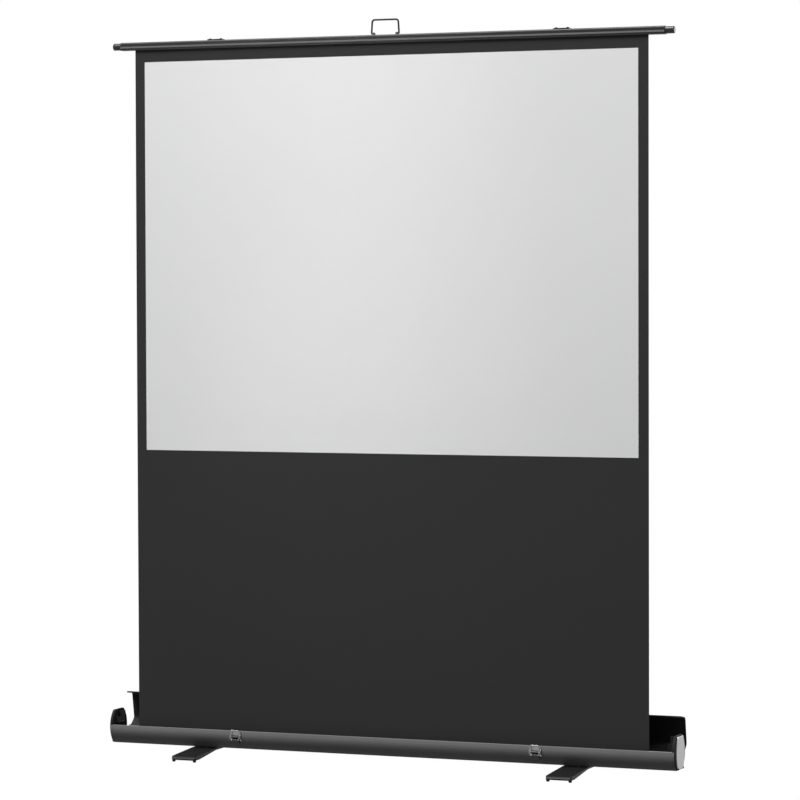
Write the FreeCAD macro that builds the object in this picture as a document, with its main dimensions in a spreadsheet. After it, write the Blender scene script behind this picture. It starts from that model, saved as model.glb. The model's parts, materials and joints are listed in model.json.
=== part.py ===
"""Portable pull-up projection screen: floor case with lid, spring roller, crossing knee arms and top bar.

Millimetres. X runs along the case to the viewer's right, Y runs from the viewer to the back, Z is up.
The origin lies on the floor, midway between the two foot pivots.
"""
import FreeCAD, Part
import math
import os
import Sketcher
from types import SimpleNamespace

doc = FreeCAD.newDocument("ProjectionScreen")
sheet = doc.addObject("Spreadsheet::Sheet", "Sizes")

# Driving dimensions: alias, value, meaning
SIZES = [
    ("picture_width", 1600, "light picture area, across"),
    ("picture_height", 1200, "light picture area, up"),
    ("picture_bottom", 944, "lower edge of the picture above the floor"),
    ("side_border", 32, "black border beside the picture"),
    ("top_border", 38, "black border above the picture"),
    ("cloth_thick", 0.5, "black-backed sheet"),
    ("coat_thick", 0.15, "light coat on the sheet"),
    ("cloth_forward", 22.4, "front of the sheet ahead of the foot pivots"),
    ("case_lift", 28, "case bottom above the floor"),
    ("case_height", 102, "end cap height"),
    ("case_depth", 104, "end cap depth"),
    ("side_bulge", 24, "how far the rounded sides stand past the flat top and bottom"),
    ("wall", 2.2, "extruded wall"),
    ("lip_height", 57, "front lip above the case bottom"),
    ("lip_return", 6, "inward return of the front lip"),
    ("rear_height", 38, "rear wall above the case bottom"),
    ("shell_margin", 79, "base shell past the sheet at each end"),
    ("end_play", 1.5, "gap of lid and bar to each end cap"),
    ("cap_thick", 8.5, "end cap plate"),
    ("cap_round", 2, "rounding of the end cap rim"),
    ("cheek_depth", 12, "how far the cap reaches into the shell"),
    ("cheek_thick", 3, "wall of that reach"),
    ("bar_park", 46, "parked bar axis above the lower arm pivots"),
    ("cradle_depth", 20, "cradle for the parked bar, along the case"),
    ("cradle_wall", 2.5, "cradle wall"),
    ("cradle_play", 1.5, "room round the bar end in its cradle"),
    ("cradle_guide", 20, "rear guide of the cradle above the parked bar"),
    ("cover_thick", 3, "bright end cover"),
    ("cover_depth", 77, "bright end cover, front to back"),
    ("cover_margin", 1, "cap rim left above and below the cover"),
    ("cover_bulge", 14.5, "rounded sides of the cover"),
    ("cover_edge", 1, "chamfer of the cover"),
    ("port_y", 24, "screw ports either side of the middle"),
    ("port_radius", 3.6, "outside of a screw port"),
    ("port_bore", 1.7, "bore of a screw port"),
    ("screw_radius", 1.6, "case screw shank"),
    ("screw_head", 3.4, "case screw head radius"),
    ("screw_head_height", 1.4, "case screw head"),
    ("screw_bite", 14, "case screw length in its port"),
    ("fit_gap", 0.3, "gap between pieces that only nest"),
    ("running_gap", 0.1, "radial play of a turning fit"),
    ("roller_radius", 15, "roller tube outside"),
    ("roller_wall", 1.2, "roller tube wall"),
    ("winding", 1.5, "turns of sheet left on the roller"),
    ("roller_lift", 32, "roller axis above the case bottom"),
    ("roller_overhang", 5, "roller past the sheet at each end"),
    ("plug_depth", 25, "end plug inside the roller"),
    ("plug_flange", 2, "end plug flange"),
    ("idle_pin_radius", 5, "turning pin of the roller"),
    ("idle_pin_length", 16, "turning pin past the flange"),
    ("arbor_radius", 4, "fixed arbor of the winding spring"),
    ("arbor_length", 430, "fixed arbor inside the roller"),
    ("spring_length", 380, "close-wound winding spring"),
    ("spring_inner", 6, "winding spring inside radius"),
    ("spring_outer", 9.5, "winding spring outside radius"),
    ("bracket_thick", 3, "roller bracket plate"),
    ("bracket_width", 30, "roller bracket, front to back"),
    ("bracket_foot", 28, "roller bracket foot along the case"),
    ("arm_length", 1425, "pivot to pivot of each arm"),
    ("arm_width", 16, "arm section height"),
    ("arm_thick", 8.5, "arm section depth"),
    ("arm_gap", 1.5, "between the two layers of arms"),
    ("arm_back", 19, "front face of the front layer behind the foot pivots"),
    ("groove_width", 7, "long groove in the arm faces"),
    ("groove_deep", 0.8, "depth of that groove"),
    ("groove_end", 28, "groove end to pivot"),
    ("pivot_x", 562, "arm pivots either side of the middle"),
    ("base_pivot_lift", 32, "lower arm pivots above the case bottom"),
    ("pin_radius", 4, "arm pin"),
    ("pin_head", 7, "arm pin head radius"),
    ("pin_head_height", 1.3, "arm pin head"),
    ("spacer_radius", 6, "spacer part of an arm pin"),
    ("side_play", 0.2, "play beside an arm on its pin"),
    ("open_play", 0.3, "radial play at the pivot that closes the linkage"),
    ("block_front", 40, "front of the pivot blocks behind the foot pivots"),
    ("block_width", 50, "pivot block along the case"),
    ("block_low", 22, "pivot block bottom above the case bottom"),
    ("block_high", 37, "pivot block top above the case bottom"),
    ("block_bite", 5, "arm pin length in its block"),
    ("bar_top", 2206.5, "top of the bar above the floor"),
    ("bar_height", 24.5, "bar section height"),
    ("bar_depth", 26, "bar section depth"),
    ("bar_ahead", 4.6, "bar front ahead of the sheet"),
    ("bar_round", 6, "upper rounding of the bar"),
    ("bar_groove_up", 5, "front groove above the bar bottom"),
    ("bar_groove_height", 2.4, "front groove height"),
    ("bar_groove_deep", 1.2, "front groove depth"),
    ("slot_width", 1.2, "slot that holds the sheet"),
    ("keder_up", 7.5, "keder rod above the bar bottom"),
    ("keder_radius", 2.2, "keder rod"),
    ("keder_play", 0.3, "keder chamber play"),
    ("bar_plug_length", 28, "round end plug of the bar"),
    ("bar_plug_radius", 11, "round end plug of the bar"),
    ("bar_plug_round", 3, "rounding of the end plug"),
    ("saddle_width", 50, "saddle along the bar"),
    ("saddle_thick", 3, "saddle plate"),
    ("saddle_set_back", 5, "saddle front edge behind the bar front"),
    ("saddle_screw_x", 18, "saddle screws either side of its middle"),
    ("saddle_screw_head", 4, "saddle screw head radius"),
    ("saddle_screw_height", 2.8, "saddle screw head"),
    ("lug_x", 38, "handle lugs either side of the middle"),
    ("lug_thick", 5, "handle lug"),
    ("lug_width", 12, "handle lug foot"),
    ("lug_crown", 4.2, "handle lug rounding about the hinge"),
    ("handle_up", 3.4, "handle hinge above the bar"),
    ("handle_foot_x", 44.5, "half width of the pull handle at the bar"),
    ("handle_top_x", 42, "half width of the pull handle at its top"),
    ("handle_height", 45.3, "pull handle top above the bar"),
    ("handle_wire", 2.8, "pull handle wire radius"),
    ("handle_bend", 8, "pull handle upper bends"),
    ("handle_foot_bend", 3, "pull handle lower bends"),
    ("hinge_back", 53.5, "lid hinge axis behind the foot pivots"),
    ("hinge_lift", 43, "lid hinge axis above the case bottom"),
    ("lid_thick", 2, "lid wall"),
    ("lid_tip_ahead", 3, "lid edge ahead of the hinge, lid open"),
    ("lid_tip_up", 108.5, "lid edge above the hinge, lid open"),
    ("lid_corner_back", 34.5, "upper corner behind the hinge"),
    ("lid_corner_up", 101, "upper corner above the hinge"),
    ("lid_kink_back", 47.5, "lower corner behind the hinge"),
    ("lid_kink_up", 19, "lower corner above the hinge"),
    ("lid_low_back", 22.5, "lowest bend behind the hinge"),
    ("lid_low_down", 1.5, "lowest bend below the hinge"),
    ("lid_root_back", 7, "lid root behind the hinge"),
    ("lid_bead", 5, "down-turned bead at the lid edge"),
    ("lid_round", 11, "inside rounding of the lid bends"),
    ("hinge_inset", 291, "outer lid hinges inside the shell ends"),
    ("knuckle_radius", 3.2, "hinge knuckle"),
    ("hinge_pin_radius", 1.6, "hinge pin"),
    ("knuckle_width", 24, "middle knuckle of a hinge"),
    ("side_knuckle_width", 14, "outer knuckles of a hinge"),
    ("knuckle_gap", 0.5, "between knuckles"),
    ("leaf_width", 60, "hinge leaf along the case"),
    ("leaf_thick", 1.6, "hinge leaf"),
    ("leaf_reach", 19, "lid leaf behind the hinge"),
    ("latch_inset", 423, "latches inside the shell ends"),
    ("latch_width", 36, "latch plate"),
    ("latch_low", 26, "latch plate bottom above the case bottom"),
    ("latch_high", 55, "latch plate top above the case bottom"),
    ("latch_plate_thick", 1.5, "latch plate"),
    ("latch_pin_lift", 38, "lever pin above the case bottom"),
    ("latch_pin_out", 4.6, "lever pin ahead of the case front"),
    ("latch_pin_radius", 2, "lever pin"),
    ("ear_thick", 2, "ears of the latch plate"),
    ("ear_half_height", 9, "ear root either side of the pin"),
    ("ear_tip", 3.5, "ear past the pin"),
    ("lever_width", 22, "latch lever"),
    ("lever_clear", 3.2, "lever inside above the case front"),
    ("lever_thick", 2.2, "latch lever"),
    ("lever_low", 14, "lever end above the case bottom"),
    ("lever_round", 5, "rounded lever end"),
    ("hub_radius", 3.4, "lever hub"),
    ("loop_ahead", 3.8, "draw loop hinge ahead of the lever pin"),
    ("loop_down", 8, "draw loop hinge below the lever pin"),
    ("loop_wire", 1.25, "draw loop wire radius"),
    ("loop_half_width", 13.5, "half width of the draw loop"),
    ("loop_height", 29, "height of the draw loop"),
    ("loop_bend", 3.5, "draw loop corners"),
    ("sleeve_radius", 2.6, "sleeve for the draw loop"),
    ("sleeve_width", 18, "sleeve for the draw loop"),
    ("keeper_width", 30, "keeper on the lid"),
    ("keeper_thick", 1.5, "keeper plate"),
    ("keeper_reach", 14, "keeper plate, front to back"),
    ("keeper_lip", 5, "keeper hook height"),
    ("keeper_back", 3, "keeper behind the lid edge"),
    ("carry_x", 62, "carry handle brackets either side of the middle"),
    ("carry_plate_height", 30, "carry bracket plate"),
    ("carry_plate_width", 18, "carry bracket plate along the case"),
    ("carry_plate_thick", 3, "carry bracket plate"),
    ("carry_boss_width", 12, "carry bracket boss"),
    ("carry_boss_radius", 5.5, "carry bracket boss"),
    ("carry_out", 9.5, "carry handle hinge off the lid"),
    ("carry_leg_x", 50, "carry handle legs either side of the middle"),
    ("carry_drop", 30, "carry handle grip below its hinge"),
    ("carry_wire", 2.5, "carry handle wire radius"),
    ("carry_bend", 5, "carry handle bends"),
    ("grip_length", 72, "carry grip"),
    ("grip_radius", 7.5, "carry grip at its ends"),
    ("grip_waist", 6.2, "carry grip at its middle"),
    ("foot_inset", 306, "foot pivots inside the shell ends"),
    ("foot_length", 370, "foot, front to back"),
    ("foot_width", 80, "foot, across"),
    ("foot_wall", 2.5, "foot wall"),
    ("foot_corner", 8, "foot corner rounding"),
    ("foot_top", 25.5, "foot top at its pivot"),
    ("foot_hub", 30, "half length of the flat middle"),
    ("foot_tip_top", 17.5, "foot top near its tip"),
    ("foot_tip_nose", 10, "foot nose where its rounding ends"),
    ("foot_tip_run", 13, "length of the nose rounding"),
    ("foot_nose_radius", 16, "nose rounding"),
    ("foot_skirt", 6, "skirt above the floor at the tips"),
    ("foot_skirt_run", 32, "level skirt at the tips"),
    ("foot_arch", 20, "skirt above the floor at the middle"),
    ("pad_radius", 5, "rubber pad"),
    ("pad_inset", 9, "pad centre from the foot end"),
    ("pad_spread", 34.5, "pad centres either side of the foot middle"),
    ("bolt_radius", 5, "foot pivot bolt"),
    ("bolt_head", 9, "foot bolt head radius"),
    ("bolt_head_height", 4.5, "foot bolt head"),
    ("nut_radius", 8.5, "foot bolt nut"),
    ("nut_height", 6.5, "foot bolt nut"),
    ("washer_radius", 14, "foot spacer washer"),
    ("washer_play", 0.15, "washer above the foot"),
]


class Size:
    """A number together with the sheet formula that gives it."""

    def __init__(self, text, value):
        self.text = text
        self.value = value

    @staticmethod
    def of(other):
        return other if isinstance(other, Size) else Size(f"{other:g}", float(other))

    def _with(self, sign, other, value):
        return Size(f"({self.text} {sign} {other.text})", value)

    def __add__(self, other):
        other = Size.of(other)
        return self._with("+", other, self.value + other.value)

    def __sub__(self, other):
        other = Size.of(other)
        return self._with("-", other, self.value - other.value)

    def __mul__(self, other):
        other = Size.of(other)
        return self._with("*", other, self.value * other.value)

    def __truediv__(self, other):
        other = Size.of(other)
        return self._with("/", other, self.value / other.value)

    def __radd__(self, other):
        return Size.of(other) + self

    def __rsub__(self, other):
        return Size.of(other) - self

    def __rmul__(self, other):
        return Size.of(other) * self

    def __neg__(self):
        return Size.of(0) - self

    def root(self):
        return Size(f"sqrt({self.text})", math.sqrt(self.value))

    def atan(self):
        return Size(f"atan({self.text})", math.degrees(math.atan(self.value)))


def read_sizes():
    """Fill the sheet and hand its cells back by name."""
    named = {}
    for row, (alias, value, meaning) in enumerate(SIZES, 1):
        sheet.set(f"A{row}", meaning)
        sheet.set(f"B{row}", str(value))
        sheet.setAlias(f"B{row}", alias)
        named[alias] = Size(f"Sizes.{alias}", float(value))
    doc.recompute()
    return SimpleNamespace(**named)


S = read_sizes()
NODES = []
TURN_LEFT, TURN_RIGHT = 1, -1
SIDES = (("left", -1), ("right", 1))


def bind(thing, prop, size):
    thing.setExpression(prop, Size.of(size).text)


def keep(thing):
    """Count an object as a sub-part that gets its own file."""
    NODES.append(thing)
    return thing


def place(thing, x=0, y=0, z=0, axis=(0, 0, 1), angle=0):
    """Turn an object, then move it to sizes of the sheet."""
    thing.Placement = FreeCAD.Placement(FreeCAD.Vector(), FreeCAD.Rotation(FreeCAD.Vector(*axis), 1))
    bind(thing, "Placement.Rotation.Angle", angle)
    for letter, size in zip("xyz", (x, y, z)):
        bind(thing, f"Placement.Base.{letter}", size)
    return thing


def new_body(label):
    body = doc.addObject("PartDesign::Body", label)
    body.Label = label
    body.AllowCompound = True
    return body


def sketch(body, plane, offset=0):
    """An empty sketch on an origin plane of its body, moved along the plane's normal."""
    drawn = body.newObject("Sketcher::SketchObject", f"{body.Label}_sketch")
    support = [f for f in body.Origin.OriginFeatures if f.Role == f"{plane}_Plane"]
    drawn.AttachmentSupport = [(support[0], "")]
    drawn.MapMode = "FlatFace"
    bind(drawn, "AttachmentOffset.Base.z", offset)
    return drawn


def fix(drawn, kind, size, *where):
    number = drawn.addConstraint(Sketcher.Constraint(kind, *where, Size.of(size).value))
    bind(drawn, f"Constraints[{number}]", size)


def fix_point(drawn, u, v, geometry, end):
    fix(drawn, "DistanceX", u, -1, 1, geometry, end)
    fix(drawn, "DistanceY", v, -1, 1, geometry, end)


def arc_between(start, stop, radius, turn):
    """The short arc from start to stop, turning left or right."""
    chord = stop - start
    reach = math.sqrt(max(radius**2 - (chord.Length / 2) ** 2, 0.0))
    inward = FreeCAD.Vector(-chord.y, chord.x, 0).normalize() * (reach * turn)
    centre = (start + stop) * 0.5 + inward
    ends = (start, stop) if turn == TURN_LEFT else (stop, start)
    angles = [math.atan2(p.y - centre.y, p.x - centre.x) for p in ends]
    return Part.ArcOfCircle(Part.Circle(centre, FreeCAD.Vector(0, 0, 1), radius), *angles)


def outline(drawn, *points):
    """A closed outline. A point is (u, v), or (u, v, radius, turn) where an arc leads to it."""
    first = drawn.GeometryCount
    corners = [FreeCAD.Vector(Size.of(p[0]).value, Size.of(p[1]).value, 0) for p in points]
    ends = []
    for number, point in enumerate(points):
        start, stop = corners[number - 1], corners[number]
        if len(point) == 2:
            drawn.addGeometry(Part.LineSegment(start, stop))
            ends.append((1, 2))
        else:
            radius, turn = point[2:]
            drawn.addGeometry(arc_between(start, stop, Size.of(radius).value, turn))
            ends.append((1, 2) if turn == TURN_LEFT else (2, 1))
    for number in range(len(points)):
        follower = (number + 1) % len(points)
        joint = (first + number, ends[number][1], first + follower, ends[follower][0])
        drawn.addConstraint(Sketcher.Constraint("Coincident", *joint))
    for number, point in enumerate(points):
        fix_point(drawn, point[0], point[1], first + number, ends[number][1])
        if len(point) > 2:
            fix(drawn, "Radius", point[2], first + number)
    return drawn


def box_outline(drawn, u0, v0, u1, v1):
    return outline(drawn, (u0, v0), (u1, v0), (u1, v1), (u0, v1))


def circle(drawn, u, v, radius):
    centre = FreeCAD.Vector(Size.of(u).value, Size.of(v).value, 0)
    shape = Part.Circle(centre, FreeCAD.Vector(0, 0, 1), Size.of(radius).value)
    geometry = drawn.addGeometry(shape)
    fix_point(drawn, u, v, geometry, 3)
    fix(drawn, "Radius", radius, geometry)
    return drawn


def feature(body, kind, drawn, length):
    """A pad or pocket that reaches half its length to each side of its sketch."""
    made = body.newObject(f"PartDesign::{kind}", f"{body.Label}_{kind.lower()}")
    made.Profile = drawn
    made.Midplane = True
    bind(made, "Length", length)
    return made


def pad(body, drawn, length):
    return feature(body, "Pad", drawn, length)


def pocket(body, drawn, length):
    return feature(body, "Pocket", drawn, length)


def round_edges(body, radius, wanted, kind="Fillet"):
    """Round or chamfer the edges of the body so far that the test picks out."""
    doc.recompute()
    base = body.Tip
    names = [f"Edge{n}" for n, edge in enumerate(base.Shape.Edges, 1) if wanted(edge)]
    made = body.newObject(f"PartDesign::{kind}", f"{body.Label}_{kind.lower()}")
    made.Base = (base, names)
    bind(made, "Radius" if kind == "Fillet" else "Size", radius)
    return made


def along_x_at(*spots):
    """Test for edges that run along X through one of the given (y, z) places."""

    def test(edge):
        low, high = edge.Vertexes[0].Point, edge.Vertexes[-1].Point
        if math.hypot(low.y - high.y, low.z - high.z) > 0.01:
            return False
        return any(math.hypot(low.y - y.value, low.z - z.value) < 0.01 for y, z in spots)

    return test


def in_plane_x(x):
    """Test for edges that lie in one plane across the case."""
    return lambda edge: max(abs(edge.BoundBox.XMin - x), abs(edge.BoundBox.XMax - x)) < 0.01


AXES = {"X": ((0, 0, 1), 0), "-X": ((0, 0, 1), 180), "Y": ((0, 0, 1), 90), "Z": ((0, 1, 0), -90)}


def turned(label, steps, along, x=0, y=0, z=0, bore=0):
    """A turned piece: (radius, length) steps from its start, laid along an axis, with a bore if asked."""
    body = new_body(label)
    points, run = [(0, bore)], Size.of(0)
    for radius, length in steps:
        points.append((run, radius))
        run = run + length
        points.append((run, radius))
    points.append((run, bore))
    spun = body.newObject("PartDesign::Revolution", f"{label}_turned")
    spun.Profile = outline(sketch(body, "XY"), *points)
    spun.ReferenceAxis = (spun.Profile[0], ["H_Axis"])
    spun.Angle = 360
    axis, angle = AXES[along]
    return place(body, x, y, z, axis, angle)


def ring(label, inner, outer, length, along, x=0, y=0, z=0):
    return turned(label, [(outer, length)], along, x, y, z, bore=inner)


def group(label, pieces):
    """Several separate solids that share one node."""
    gathered = doc.addObject("Part::Compound", label)
    gathered.Label = label
    gathered.Links = pieces
    return gathered


def bent_wire(label, points, radius, closed=False):
    """Round wire along straight runs with a tangent arc at each (point, bend radius)."""
    spots = [FreeCAD.Vector(*(Size.of(c).value for c in point)) for point, _ in points]
    edges, last = [], None if closed else spots[0]
    count = len(spots)
    for number in range(0 if closed else 1, count if closed else count - 1):
        before, here, after = spots[number - 1], spots[number], spots[(number + 1) % count]
        back, on = (before - here).normalize(), (after - here).normalize()
        bend = Size.of(points[number][1]).value
        half_turn = (math.pi - back.getAngle(on)) / 2
        cut = bend * math.tan(half_turn)
        start, stop = here + back * cut, here + on * cut
        middle = here + (back + on).normalize() * (bend / math.cos(half_turn) - bend)
        if last is not None:
            edges.append(Part.LineSegment(last, start).toShape())
        edges.append(Part.Arc(start, middle, stop).toShape())
        last = stop
    tail = edges[0].Vertexes[0].Point if closed else spots[-1]
    edges.append(Part.LineSegment(last, tail).toShape())
    heading = edges[0].tangentAt(edges[0].FirstParameter)
    origin = edges[0].valueAt(edges[0].FirstParameter)
    ring_edge = Part.Circle(origin, heading, Size.of(radius).value).toShape()
    piece = doc.addObject("Part::Feature", label)
    piece.Label = label
    piece.Shape = Part.Wire(edges).makePipeShell([Part.Wire([ring_edge])], True, False)
    return piece


# Places worked out from the driving dimensions
case_mid = S.case_lift + S.case_height / 2
side_radius = (S.case_height * S.case_height / 4 + S.side_bulge * S.side_bulge) / (2 * S.side_bulge)
inner_radius = side_radius - S.wall
floor_z = S.case_lift + S.wall
lip_z = S.case_lift + S.lip_height
rear_z = S.case_lift + S.rear_height
cloth_width = S.picture_width + 2 * S.side_border
shell_length = cloth_width + 2 * S.shell_margin
shell_half = shell_length / 2
foot_x = shell_half - S.foot_inset
latch_x = shell_half - S.latch_inset
hinge_x = shell_half - S.hinge_inset
port_z = floor_z + S.port_radius - S.wall / 2
cover_face = shell_half + S.cap_thick + S.cover_thick
hinge_z = S.case_lift + S.hinge_lift
inner_length = shell_length - 2 * S.end_play
cloth_y = -S.cloth_forward
bar_bottom = S.bar_top - S.bar_height
bar_front = cloth_y - S.bar_ahead
bar_rear = bar_front + S.bar_depth
bar_axis_y = bar_front + S.bar_depth / 2
bar_axis_z = bar_bottom + S.bar_height / 2
keder_y = cloth_y + S.cloth_thick / 2
keder_z = bar_bottom + S.keder_up
wound_radius = S.roller_radius + S.winding
roller_y = cloth_y + S.cloth_thick + S.fit_gap + wound_radius
roller_z = S.case_lift + S.roller_lift
roller_half = cloth_width / 2 + S.roller_overhang
bracket_x = roller_half + S.plug_flange + S.idle_pin_length / 2
base_pivot_z = S.case_lift + S.base_pivot_lift
half_rise = (bar_axis_z - base_pivot_z) / 2
elbow_run = (S.arm_length * S.arm_length - half_rise * half_rise).root()
elbow_z = base_pivot_z + half_rise
front_layer = S.arm_back + S.arm_thick / 2
rear_layer = front_layer + S.arm_thick + S.arm_gap


def front_y(z, radius):
    """Rounded case front at a height, on the given radius about the same centre."""
    up = z - case_mid
    return side_radius - S.case_depth / 2 - (radius * radius - up * up).root()


def rear_y(z, radius):
    return -front_y(z, radius)


def barrel(drawn, depth, height, bulge, middle):
    """Flat top and bottom with rounded sides, as the case ends have."""
    radius = (height * height / 4 + bulge * bulge) / (2 * bulge)
    flat, low, high = depth / 2 - bulge, middle - height / 2, middle + height / 2
    return outline(drawn, (-flat, low, radius, TURN_LEFT), (flat, low), (flat, high, radius, TURN_LEFT), (-flat, high))


def front_strip(drawn, low, high, inside, outside):
    """A strip that follows the rounded case front between two heights."""
    return outline(
        drawn,
        (front_y(high, inside), high, inside, TURN_RIGHT),
        (front_y(high, outside), high),
        (front_y(low, outside), low, outside, TURN_LEFT),
        (front_y(low, inside), low),
    )


def rear_strip(drawn, low, high, inside, outside):
    """A strip that follows the rounded rear wall between two heights."""
    return outline(
        drawn,
        (rear_y(low, inside), low, inside, TURN_RIGHT),
        (rear_y(low, outside), low),
        (rear_y(high, outside), high, outside, TURN_LEFT),
        (rear_y(high, inside), high),
    )


def make_base_shell():
    body = new_body("base_shell")
    lip_y = front_y(lip_z, side_radius)
    section = outline(
        sketch(body, "YZ"),
        (lip_y, lip_z),
        (front_y(S.case_lift, side_radius), S.case_lift, side_radius, TURN_LEFT),
        (rear_y(S.case_lift, side_radius), S.case_lift),
        (rear_y(rear_z, side_radius), rear_z, side_radius, TURN_LEFT),
        (rear_y(rear_z, inner_radius), rear_z),
        (rear_y(floor_z, inner_radius), floor_z, inner_radius, TURN_RIGHT),
        (front_y(floor_z, inner_radius), floor_z),
        (front_y(lip_z - S.wall, inner_radius), lip_z - S.wall, inner_radius, TURN_RIGHT),
        (lip_y + S.lip_return, lip_z - S.wall),
        (lip_y + S.lip_return, lip_z),
    )
    pad(body, section, shell_length)
    for y in (-S.port_y, S.port_y):
        pad(body, circle(sketch(body, "YZ"), y, port_z, S.port_radius), shell_length)
        pocket(body, circle(sketch(body, "YZ"), y, port_z, S.port_bore), shell_length)
    holes = sketch(body, "XY")
    for _, side in SIDES:
        circle(holes, side * foot_x, 0, S.bolt_radius)
    pocket(body, holes, 2 * (floor_z + S.wall))
    keep(body)


def cradle(drawn):
    """U-shaped cradle that takes the round end of the bar when it is parked."""
    park_z = base_pivot_z + S.bar_park
    room = S.bar_plug_radius + S.cradle_play
    near, far, seat = bar_axis_y - room, bar_axis_y + room, park_z - room
    low, high = seat - S.cradle_wall, park_z + S.cradle_play
    return outline(
        drawn,
        (near - S.cradle_wall, low),
        (far + S.cradle_wall, low),
        (far + S.cradle_wall, park_z + S.cradle_guide),
        (far, park_z + S.cradle_guide),
        (far, seat),
        (near, seat),
        (near, high),
        (near - S.cradle_wall, high),
    )


def make_end(name, side):
    """End cap with cheeks that reach into the shell, and the bright cover on it."""
    cap = new_body(f"{name}_end_cap")
    plate_x = side * (shell_half + S.cap_thick / 2)
    cheek_x = side * (shell_half - S.cheek_depth / 2)
    pad(cap, barrel(sketch(cap, "YZ", plate_x), S.case_depth, S.case_height, S.side_bulge, case_mid), S.cap_thick)
    outside = inner_radius - S.fit_gap
    inside = outside - S.cheek_thick
    low = port_z + S.port_radius + S.fit_gap
    front_high = lip_z - 2 * S.wall - S.fit_gap
    pad(cap, front_strip(sketch(cap, "YZ", cheek_x), low, front_high, inside, outside), S.cheek_depth)
    pad(cap, rear_strip(sketch(cap, "YZ", cheek_x), low, rear_z, inside, outside), S.cheek_depth)
    round_edges(cap, S.cap_round, in_plane_x(side * (shell_half + S.cap_thick).value))
    pad(cap, cradle(sketch(cap, "YZ", side * (shell_half - S.cradle_depth / 2))), S.cradle_depth)
    cover = new_body(f"{name}_end_cover")
    cover_x = side * (cover_face - S.cover_thick / 2)
    height = S.case_height - 2 * (S.cap_round + S.cover_margin)
    pad(cover, barrel(sketch(cover, "YZ", cover_x), S.cover_depth, height, S.cover_bulge, case_mid), S.cover_thick)
    round_edges(cover, S.cover_edge, in_plane_x(side * cover_face.value), "Chamfer")
    for body in (cap, cover):
        holes = sketch(body, "YZ", plate_x)
        for y in (-S.port_y, S.port_y):
            circle(holes, y, port_z, S.screw_radius)
        pocket(body, holes, 4 * S.cap_thick)
        keep(body)


def make_end_screws():
    shank = S.cover_thick + S.cap_thick + S.screw_bite
    steps = [(S.screw_head, S.screw_head_height), (S.screw_radius, shank)]
    start = cover_face + S.screw_head_height
    screws = []
    for y in (-S.port_y, S.port_y):
        screws.append(turned("screw", steps, "X", -start, y, port_z))
        screws.append(turned("screw", steps, "-X", start, y, port_z))
    keep(group("end_screws", screws))


def make_roller_bracket(name, side, bore):
    """Angle bracket on the case floor that carries one end of the roller."""
    body = new_body(f"{name}_roller_bracket")
    half = S.bracket_width / 2
    top = roller_z + half
    plate = outline(
        sketch(body, "YZ", side * bracket_x),
        (roller_y - half, floor_z),
        (roller_y + half, floor_z),
        (roller_y + half, roller_z),
        (roller_y, top, half, TURN_LEFT),
        (roller_y - half, roller_z, half, TURN_LEFT),
    )
    pad(body, plate, S.bracket_thick)
    tread_x = side * (bracket_x + S.bracket_foot / 2)
    foot = box_outline(
        sketch(body, "YZ", tread_x), roller_y - half / 2, floor_z, roller_y + half / 2, floor_z + S.bracket_thick
    )
    pad(body, foot, S.bracket_foot)
    pocket(body, circle(sketch(body, "YZ", side * bracket_x), roller_y, roller_z, bore), 2 * S.bracket_thick)
    keep(body)


def make_roller():
    tube = new_body("roller_tube")
    section = circle(sketch(tube, "YZ"), 0, 0, S.roller_radius)
    pad(tube, circle(section, 0, 0, S.roller_radius - S.roller_wall), 2 * roller_half)
    wound = new_body("wound_sheet")
    section = circle(sketch(wound, "YZ"), 0, 0, wound_radius)
    pad(wound, circle(section, 0, 0, S.roller_radius), cloth_width)
    for body in (tube, wound):
        keep(place(body, 0, roller_y, roller_z))
    inside = S.roller_radius - S.roller_wall
    plug = [(inside, S.plug_depth), (S.roller_radius, S.plug_flange)]
    seat = roller_half - S.plug_depth
    idle = plug + [(S.idle_pin_radius, S.idle_pin_length)]
    keep(turned("roller_idle_plug", idle, "-X", -seat, roller_y, roller_z))
    bore = S.arbor_radius + S.running_gap
    keep(turned("roller_spring_plug", plug, "X", seat, roller_y, roller_z, bore))
    spring_start = seat - S.spring_length
    spring = ring("roller_spring", S.spring_inner, S.spring_outer, S.spring_length, "X", spring_start, roller_y, roller_z)
    keep(spring)
    arbor_end = bracket_x + S.idle_pin_length / 2
    length = S.arbor_length + arbor_end - roller_half
    keep(turned("spring_arbor", [(S.arbor_radius, length)], "X", arbor_end - length, roller_y, roller_z))


def make_pivot_block(name, side):
    """Block on the rear wall that carries the base pin of one lower arm."""
    body = new_body(f"{name}_pivot_block")
    low, high = S.case_lift + S.block_low, S.case_lift + S.block_high
    section = outline(
        sketch(body, "YZ", side * S.pivot_x),
        (S.block_front, low),
        (rear_y(low, inner_radius), low),
        (rear_y(high, inner_radius), high, inner_radius, TURN_LEFT),
        (S.block_front, high),
    )
    pad(body, section, S.block_width)
    hole = circle(sketch(body, "XZ", -S.block_front), side * S.pivot_x, base_pivot_z, S.pin_radius)
    pocket(body, hole, 2 * S.block_bite)
    keep(body)


def make_base_pin(name, side, layer):
    """Shouldered pin from its block forward through one lower arm."""
    head_y = layer - S.arm_thick / 2 - S.side_play - S.pin_head_height
    journal = S.arm_thick + 2 * S.side_play
    spacer = S.block_front - head_y - S.pin_head_height - journal
    steps = [
        (S.pin_head, S.pin_head_height),
        (S.pin_radius, journal),
        (S.spacer_radius, spacer),
        (S.pin_radius, S.block_bite),
    ]
    keep(turned(f"{name}_base_pin", steps, "Y", side * S.pivot_x, head_y, base_pivot_z))


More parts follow.
